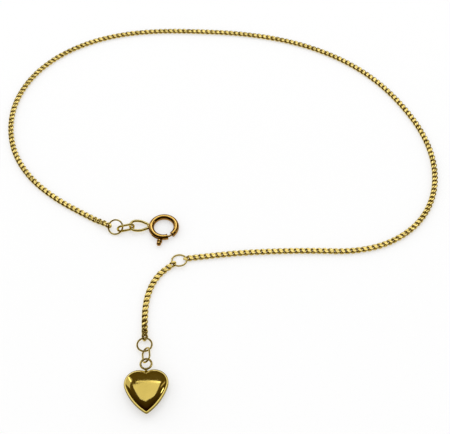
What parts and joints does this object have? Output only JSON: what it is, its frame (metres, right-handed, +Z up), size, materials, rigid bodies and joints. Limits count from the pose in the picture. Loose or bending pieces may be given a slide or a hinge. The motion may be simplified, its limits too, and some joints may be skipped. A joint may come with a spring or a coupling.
{
  "type": "chain anklet",
  "caption": "Fine curb chain anklet lying open, with a bolt ring clasp, a short extender chain and a puffed heart charm.",
  "frame": {"origin": "centre of the footprint of the whole anklet as it lies open, on the surface it lies on", "axes": "+Z up from the surface; +Y from the heart charm's tip towards the far side of the chain's loop; +X to the right, with the clasp on the left"},
  "size_m": [0.0951, 0.1015, 0.0027],
  "materials": {
    "chain_gold": "polished gold colour, diamond-cut curb links",
    "wire_gold": "polished gold colour, drawn round wire",
    "clasp_gold": "polished gold colour with tumbling marks",
    "heart_gold": "mirror-polished gold colour, faintly brushed"
  },
  "bodies": {
    "anklet": {"main_chain": "chain_gold", "extender_chain": "chain_gold", "chain_end_ring": "wire_gold", "connector_link": "wire_gold", "clasp_ring": "clasp_gold", "middle_ring": "wire_gold", "end_ring": "wire_gold", "charm_link": "wire_gold", "heart_charm": "heart_gold"},
    "latch": {"clasp_latch": "clasp_gold"}
  },
  "joints": [
    {"name": "latch_turn", "type": "hinge", "parent": "anklet", "child": "latch", "pos_m": [-0.01138, -0.00885, 0.00062], "axis": [0, 0, 1], "range_deg": [-32, 0], "stiffness_Nm_per_rad": 0.0005, "springref_deg": 20.05}
  ]
}
